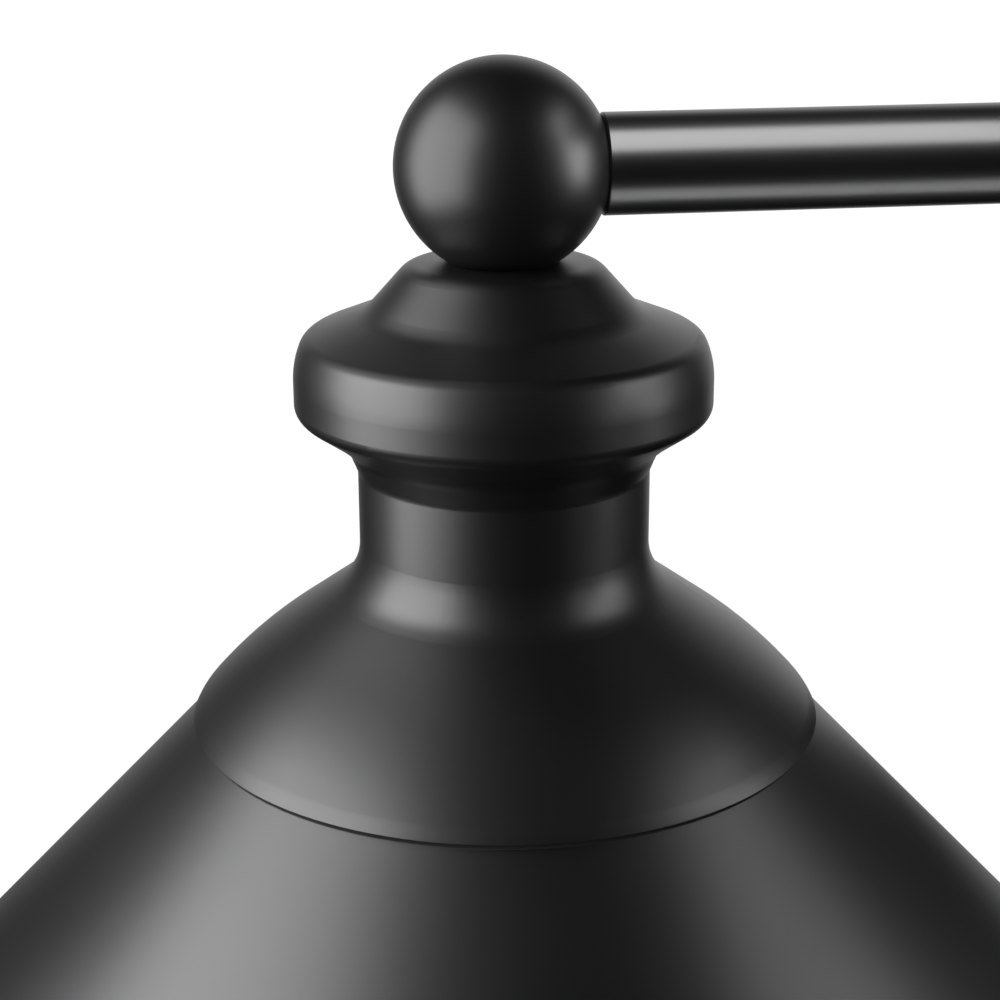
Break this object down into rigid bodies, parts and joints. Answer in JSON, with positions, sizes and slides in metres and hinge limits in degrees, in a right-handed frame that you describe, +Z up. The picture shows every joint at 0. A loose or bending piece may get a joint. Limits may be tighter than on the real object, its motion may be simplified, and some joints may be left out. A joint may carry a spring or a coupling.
{
  "type": "semi-flush ceiling light",
  "caption": "Semi-flush ceiling light: round canopy, short stem and hub, horizontal arms with ball swivels, and cone metal shades that tilt about their arms.",
  "frame": {"origin": "centre of the ceiling face, on the stem's axis, at the top of the crossbar", "axes": "+Z up into the ceiling, everything hangs at z below 0; head 1 is on the -X side and its arm runs along +X to the hub"},
  "size_m": [0.5205, 0.5646, 0.2523],
  "materials": {
    "black_metal": "satin black powder coat",
    "shade_enamel": "satin black outside, warm white enamel inside",
    "zinc_steel": "zinc plated",
    "green_steel": "green dyed zinc plate",
    "brass": "plain turned or stamped",
    "black_phenolic": "moulded, slight gloss",
    "bulb_metal": "stamped",
    "opal_glass": "opal white",
    "cable_jacket": "smooth jacket"
  },
  "bodies": {
    "root": {"arm_1": "black_metal", "arm_2": "black_metal", "arm_3": "black_metal", "arm_bushes": "brass", "arm_cables": "cable_jacket", "arm_nipples": "zinc_steel", "canopy": "black_metal", "canopy_knobs": "black_metal", "canopy_studs": "zinc_steel", "crossbar": "zinc_steel", "ground_screw": "green_steel", "hub_body": "black_metal", "hub_cap": "black_metal", "hub_finial": "black_metal", "nipple_nuts": "zinc_steel", "stem_collar": "black_metal", "stem_nipple": "zinc_steel", "stem_tube": "black_metal", "stud_nuts": "zinc_steel"},
    "head_1": {"swivel_ball_1": "black_metal", "swivel_stud_1": "zinc_steel", "neck_nipple_1": "zinc_steel", "cap_1": "black_metal", "shade_holder_1": "black_metal", "shade_1": "shade_enamel", "shade_ring_1": "black_phenolic", "lampholder_1": "black_phenolic", "screw_shell_1": "brass", "centre_contact_1": "brass", "bulb_base_1": "bulb_metal", "bulb_glass_1": "opal_glass", "head_cable_1": "cable_jacket"},
    "head_2": {"swivel_ball_2": "black_metal", "swivel_stud_2": "zinc_steel", "neck_nipple_2": "zinc_steel", "cap_2": "black_metal", "shade_holder_2": "black_metal", "shade_2": "shade_enamel", "shade_ring_2": "black_phenolic", "lampholder_2": "black_phenolic", "screw_shell_2": "brass", "centre_contact_2": "brass", "bulb_base_2": "bulb_metal", "bulb_glass_2": "opal_glass", "head_cable_2": "cable_jacket"},
    "head_3": {"swivel_ball_3": "black_metal", "swivel_stud_3": "zinc_steel", "neck_nipple_3": "zinc_steel", "cap_3": "black_metal", "shade_holder_3": "black_metal", "shade_3": "shade_enamel", "shade_ring_3": "black_phenolic", "lampholder_3": "black_phenolic", "screw_shell_3": "brass", "centre_contact_3": "brass", "bulb_base_3": "bulb_metal", "bulb_glass_3": "opal_glass", "head_cable_3": "cable_jacket"}
  },
  "joints": [
    {"name": "head_1_tilt", "type": "hinge", "parent": "root", "child": "head_1", "pos_m": [-0.19, 0, -0.09], "axis": [1, 0, 0], "range_deg": [-30, 30]},
    {"name": "head_2_tilt", "type": "hinge", "parent": "root", "child": "head_2", "pos_m": [0.095, -0.16454, -0.09], "axis": [-0.5, 0.866, 0], "range_deg": [-30, 30]},
    {"name": "head_3_tilt", "type": "hinge", "parent": "root", "child": "head_3", "pos_m": [0.095, 0.16454, -0.09], "axis": [-0.5, -0.866, 0], "range_deg": [-30, 30]}
  ]
}
